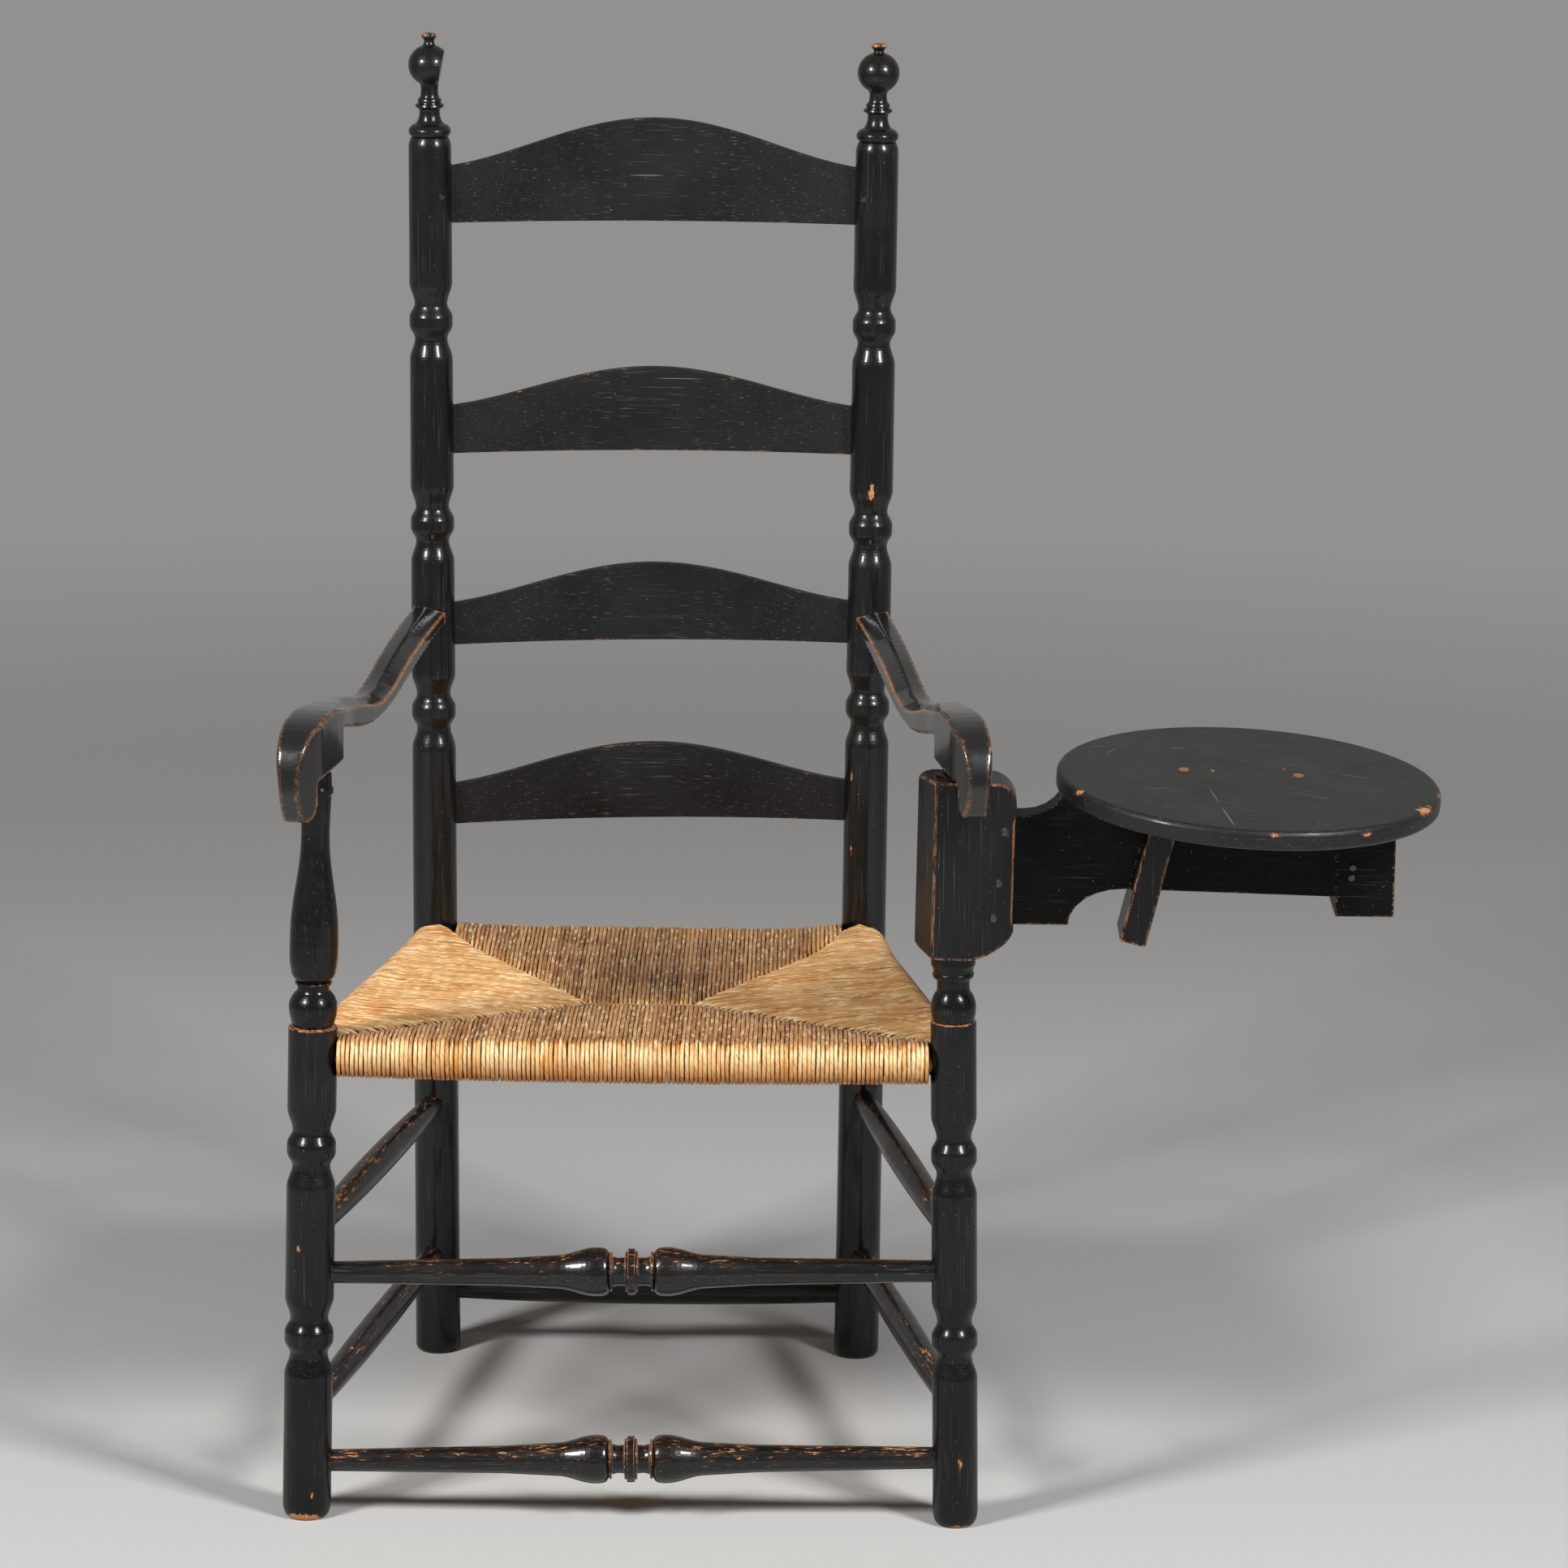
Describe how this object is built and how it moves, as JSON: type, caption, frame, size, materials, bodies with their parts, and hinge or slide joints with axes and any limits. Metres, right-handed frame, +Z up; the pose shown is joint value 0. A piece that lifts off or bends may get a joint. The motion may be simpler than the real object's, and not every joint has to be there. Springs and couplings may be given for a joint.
{
  "type": "ladder-back writing armchair",
  "caption": "Black-painted slat-back armchair with turned posts, a woven rush seat, scrolled arms and a round writing tablet that swings on the right front post",
  "frame": {"origin": "the middle of the flat underside of the right front foot, on the axis that the writing tablet turns about", "axes": "+X is to the right of a viewer facing the chair, +Y is from the front of the chair to its back, +Z is up"},
  "size_m": [0.9957, 0.6636, 1.2545],
  "materials": {
    "black_wood": "worn black paint, satin",
    "bare_wood": "bare maple, hidden in the rush",
    "rush": "twisted natural rush, dry",
    "iron": "old hand-made nails, painted over"
  },
  "bodies": {
    "root": {"front_post_left": "black_wood", "front_post_right": "black_wood", "back_post_left": "black_wood", "back_post_right": "black_wood", "slat_top": "black_wood", "slat_upper": "black_wood", "slat_lower": "black_wood", "slat_bottom": "black_wood", "arm_left": "black_wood", "arm_right": "black_wood", "front_stretcher_upper": "black_wood", "front_stretcher_lower": "black_wood", "rear_stretcher": "black_wood", "side_stretcher_left_upper": "black_wood", "side_stretcher_left_lower": "black_wood", "side_stretcher_right_upper": "black_wood", "side_stretcher_right_lower": "black_wood", "slat_pins": "black_wood", "seat_rail_front": "bare_wood", "seat_rail_rear": "bare_wood", "seat_rail_left": "bare_wood", "seat_rail_right": "bare_wood", "rush_seat": "rush"},
    "writing_arm": {"hinge_block": "black_wood", "tablet_bracket": "black_wood", "middle_batten": "black_wood", "end_batten": "black_wood", "writing_tablet": "black_wood", "block_nails": "iron", "batten_nails": "iron", "tablet_pegs": "black_wood"}
  },
  "joints": [
    {"name": "tablet_hinge", "type": "hinge", "parent": "root", "child": "writing_arm", "pos_m": [0, 0, 0], "axis": [-0.0201, 0, 0.9998], "range_deg": [-23, 54]}
  ]
}
